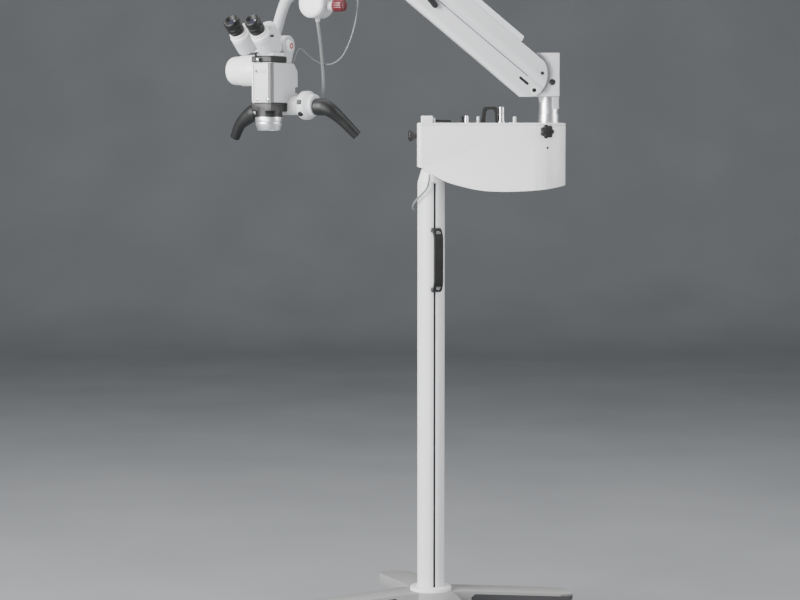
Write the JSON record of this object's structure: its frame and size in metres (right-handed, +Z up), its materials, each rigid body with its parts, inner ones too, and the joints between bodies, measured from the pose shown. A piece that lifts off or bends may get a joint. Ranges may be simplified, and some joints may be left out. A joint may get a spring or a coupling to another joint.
{
  "type": "operating microscope on a floor stand",
  "caption": "Floor-standing operating microscope: four-legged caster base, round column, lamp housing, spring arm and tilting binocular head with two hand grips.",
  "frame": {"origin": "on the floor, under the middle of the object's box without its free cables; the column stands 78 mm to +X of it", "axes": "+Z up; the observer stands on the -Y side; +X from the microscope towards the lamp housing's spindle"},
  "size_m": [0.9063, 0.7542, 1.8565],
  "materials": {
    "base_paint": "mid grey textured paint",
    "white_paint": "white satin paint",
    "grey_paint": "light grey satin paint",
    "black_plastic": "black, fine grain",
    "grip_plastic": "black satin, moulded",
    "caster_rubber": "black tread",
    "alloy": "satin anodised",
    "steel": "ground",
    "chrome": "polished",
    "red_plastic": "dark red",
    "lens_glass": "coated optical glass",
    "cord_grey": "grey sheath"
  },
  "bodies": {
    "stand": {"base_casting": "base_paint", "column_extrusion": "white_paint", "column_neck": "white_paint", "column_handle": "black_plastic"},
    "caster_a": {"caster_fork_a": "black_plastic"},
    "wheel_a": {"caster_wheel_a": "caster_rubber"},
    "caster_b": {"caster_fork_b": "black_plastic"},
    "wheel_b": {"caster_wheel_b": "caster_rubber"},
    "caster_c": {"caster_fork_c": "black_plastic"},
    "wheel_c": {"caster_wheel_c": "caster_rubber"},
    "caster_d": {"caster_fork_d": "black_plastic"},
    "wheel_d": {"caster_wheel_d": "caster_rubber"},
    "carrier": {"housing_shell": "white_paint", "housing_lid": "white_paint", "carrier_frame": "alloy", "power_supply": "alloy", "lamp_module": "alloy", "cable_guard": "black_plastic", "lamp_lead": "cord_grey"},
    "column_lock": {"column_lock_knob": "black_plastic"},
    "spindle_lock": {"spindle_lock_knob": "black_plastic"},
    "dimmer": {"brightness_knob": "black_plastic"},
    "rocker": {"power_switch": "black_plastic"},
    "spindle": {"spindle_tube": "chrome", "arm_bracket": "grey_paint"},
    "arm": {"arm_lower_shell": "grey_paint", "arm_upper_shell": "grey_paint", "arm_top_cover": "grey_paint", "lower_pivot_pin": "steel", "balance_spring": "steel"},
    "brake": {"arm_brake_lever": "black_plastic"},
    "linkage": {"parallel_rod": "steel"},
    "knuckle": {"front_knuckle": "grey_paint"},
    "head": {"drop_spindle": "chrome", "pendulum_yoke": "grey_paint"},
    "pendulum": {"pendulum_housing": "white_paint", "c_arm": "grey_paint", "light_guide": "cord_grey", "signal_cable": "cord_grey"},
    "pendulum_lock": {"pendulum_lock_knob": "red_plastic"},
    "microscope": {"optics_body": "grey_paint", "objective_mount": "black_plastic", "tube_mount_plate": "black_plastic", "tilt_block": "white_paint", "camera_housing": "white_paint", "handle_crossbar": "white_paint"},
    "focus": {"focus_ring": "alloy"},
    "lens": {"objective_lens": "lens_glass"},
    "tube_clamp": {"tube_clamp_screw": "chrome"},
    "handle_right": {"handle_collar_right": "grey_paint", "grip_right": "grip_plastic"},
    "handle_left": {"handle_collar_left": "grey_paint", "grip_left": "grip_plastic"},
    "button_upper": {"upper_button": "black_plastic"},
    "button_lower": {"lower_button": "black_plastic"},
    "binocular": {"binocular_body": "grey_paint"},
    "prism_right": {"prism_housing_right": "grey_paint"},
    "prism_left": {"prism_housing_left": "grey_paint"},
    "eye_right": {"eyepiece_right": "grip_plastic"},
    "eye_left": {"eyepiece_left": "grip_plastic"}
  },
  "joints": [
    {"name": "caster_swivel_a", "type": "hinge", "parent": "stand", "child": "caster_a", "pos_m": [0.41045, 0.0922, 0], "axis": [0, 0, 1], "continuous": true},
    {"name": "wheel_spin_a", "type": "hinge", "parent": "caster_a", "child": "wheel_a", "pos_m": [0.42361, 0.09699, 0.027], "axis": [-0.342, 0.9397, 0], "continuous": true},
    {"name": "caster_swivel_b", "type": "hinge", "parent": "stand", "child": "caster_b", "pos_m": [-0.0142, 0.33245, 0], "axis": [0, 0, 1], "continuous": true},
    {"name": "wheel_spin_b", "type": "hinge", "parent": "caster_b", "child": "wheel_b", "pos_m": [-0.0142, 0.34645, 0.027], "axis": [-1, 0, 0], "continuous": true},
    {"name": "caster_swivel_c", "type": "hinge", "parent": "stand", "child": "caster_c", "pos_m": [-0.25445, -0.0922, 0], "axis": [0, 0, 1], "continuous": true},
    {"name": "wheel_spin_c", "type": "hinge", "parent": "caster_c", "child": "wheel_c", "pos_m": [-0.26761, -0.08741, 0.027], "axis": [-0.342, -0.9397, 0], "continuous": true},
    {"name": "caster_swivel_d", "type": "hinge", "parent": "stand", "child": "caster_d", "pos_m": [0.1702, -0.33245, 0], "axis": [0, 0, 1], "continuous": true},
    {"name": "wheel_spin_d", "type": "hinge", "parent": "caster_d", "child": "wheel_d", "pos_m": [0.1612, -0.34318, 0.027], "axis": [0.766, -0.6428, 0], "continuous": true},
    {"name": "carrier_swivel", "type": "hinge", "parent": "stand", "child": "carrier", "pos_m": [0.078, 0, 0.039], "axis": [0, 0, 1], "range_deg": [-165, 165], "deforming": ["lamp_lead"]},
    {"name": "column_lock_turn", "type": "hinge", "parent": "carrier", "child": "column_lock", "pos_m": [0.042, 0, 1.288], "axis": [1, 0, 0], "range_deg": [-90, 360]},
    {"name": "spindle_lock_turn", "type": "hinge", "parent": "carrier", "child": "spindle_lock", "pos_m": [0.37, 0, 1.298], "axis": [0, -1, 0], "range_deg": [-90, 360]},
    {"name": "dimmer_turn", "type": "hinge", "parent": "carrier", "child": "dimmer", "pos_m": [0.156, 0, 1.32], "axis": [0, 0, 1], "range_deg": [-135, 135]},
    {"name": "switch_rock", "type": "hinge", "parent": "carrier", "child": "rocker", "pos_m": [0.138, 0.069, 1.264], "axis": [1, 0, 0], "range_deg": [-8, 8]},
    {"name": "spindle_swivel", "type": "hinge", "parent": "carrier", "child": "spindle", "pos_m": [0.378, 0, 0.039], "axis": [0, 0, 1], "range_deg": [-150, 150]},
    {"name": "arm_lift", "type": "hinge", "parent": "spindle", "child": "arm", "pos_m": [0.307, 0, 1.444], "axis": [0, 1, 0], "range_deg": [-45, 10]},
    {"name": "brake_turn", "type": "hinge", "parent": "arm", "child": "brake", "pos_m": [0.04593, -0.035, 1.66959], "axis": [0, -1, 0], "range_deg": [-10, 35]},
    {"name": "rod_swing", "type": "hinge", "parent": "spindle", "child": "linkage", "pos_m": [0.307, 0, 1.416], "axis": [0, 1, 0], "range_deg": [-45, 10]},
    {"name": "knuckle_level", "type": "hinge", "parent": "arm", "child": "knuckle", "pos_m": [-0.10666, 0, 1.79111], "axis": [0, 1, 0], "range_deg": [-10, 45]},
    {"name": "head_swivel", "type": "hinge", "parent": "knuckle", "child": "head", "pos_m": [-0.212, 0, 0.039], "axis": [0, 0, 1], "range_deg": [-110, 110]},
    {"name": "pendulum_tilt", "type": "hinge", "parent": "head", "child": "pendulum", "pos_m": [-0.212, 0, 1.624], "axis": [0.515, 0.8572, 0], "range_deg": [-20, 20]},
    {"name": "pendulum_lock_turn", "type": "hinge", "parent": "pendulum", "child": "pendulum_lock", "pos_m": [-0.21406, -0.00343, 1.617], "axis": [0.8572, -0.515, 0], "range_deg": [-90, 270]},
    {"name": "microscope_tilt", "type": "hinge", "parent": "pendulum", "child": "microscope", "pos_m": [-0.30513, 0.00272, 1.516], "axis": [0.8572, -0.515, 0], "range_deg": [-25, 60], "deforming": ["light_guide", "signal_cable"]},
    {"name": "focus_turn", "type": "hinge", "parent": "microscope", "child": "focus", "pos_m": [-0.335, -0.047, 0.039], "axis": [0, 0, 1], "range_deg": [-120, 120]},
    {"name": "lens_travel", "type": "slide", "parent": "microscope", "child": "lens", "axis": [0, 0, 1], "range_m": [-0.004, 0.004]},
    {"name": "tube_clamp_turn", "type": "hinge", "parent": "microscope", "child": "tube_clamp", "pos_m": [-0.35628, -0.07271, 1.4795], "axis": [-0.515, -0.8572, 0], "range_deg": [-90, 360]},
    {"name": "handle_turn_right", "type": "hinge", "parent": "microscope", "child": "handle_right", "pos_m": [-0.25284, -0.02287, 1.365], "axis": [0.8572, -0.515, 0], "range_deg": [-45, 45]},
    {"name": "handle_turn_left", "type": "hinge", "parent": "microscope", "child": "handle_left", "pos_m": [-0.33084, 0.024, 1.365], "axis": [0.8572, -0.515, 0], "range_deg": [-45, 45]},
    {"name": "upper_button_press", "type": "slide", "parent": "handle_right", "child": "button_upper", "axis": [0.5038, 0.8384, -0.2079], "range_m": [0, 0.002], "stiffness_N_per_m": 600, "springref_m": -0.001},
    {"name": "lower_button_press", "type": "slide", "parent": "handle_right", "child": "button_lower", "axis": [0.4113, 0.6846, 0.6018], "range_m": [0, 0.002], "stiffness_N_per_m": 600, "springref_m": -0.001},
    {"name": "binocular_tilt", "type": "hinge", "parent": "microscope", "child": "binocular", "pos_m": [-0.33397, -0.04529, 1.512], "axis": [0.8572, -0.515, 0], "range_deg": [-30, 10]},
    {"name": "pupil_distance_right", "type": "slide", "parent": "binocular", "child": "prism_right", "axis": [0.8572, -0.515, 0], "range_m": [-0.005, 0.006]},
    {"name": "pupil_distance_left", "type": "slide", "parent": "binocular", "child": "prism_left", "axis": [0.8572, -0.515, 0], "range_m": [-0.006, 0.005]},
    {"name": "dioptre_turn_right", "type": "hinge", "parent": "prism_right", "child": "eye_right", "pos_m": [-0.35032, -0.13346, 1.539], "axis": [-0.3767, -0.6269, 0.682], "range_deg": [-90, 90]},
    {"name": "dioptre_turn_left", "type": "hinge", "parent": "prism_left", "child": "eye_left", "pos_m": [-0.40415, -0.10112, 1.539], "axis": [-0.3767, -0.6269, 0.682], "range_deg": [-90, 90]}
  ],
  "couplings": [
    {"joint": "knuckle_level", "follows": "arm_lift", "ratio": -1},
    {"joint": "rod_swing", "follows": "arm_lift", "ratio": 1},
    {"joint": "lens_travel", "follows": "focus_turn", "m_per_rad": 0.0019},
    {"joint": "pupil_distance_left", "follows": "pupil_distance_right", "ratio": -1}
  ]
}
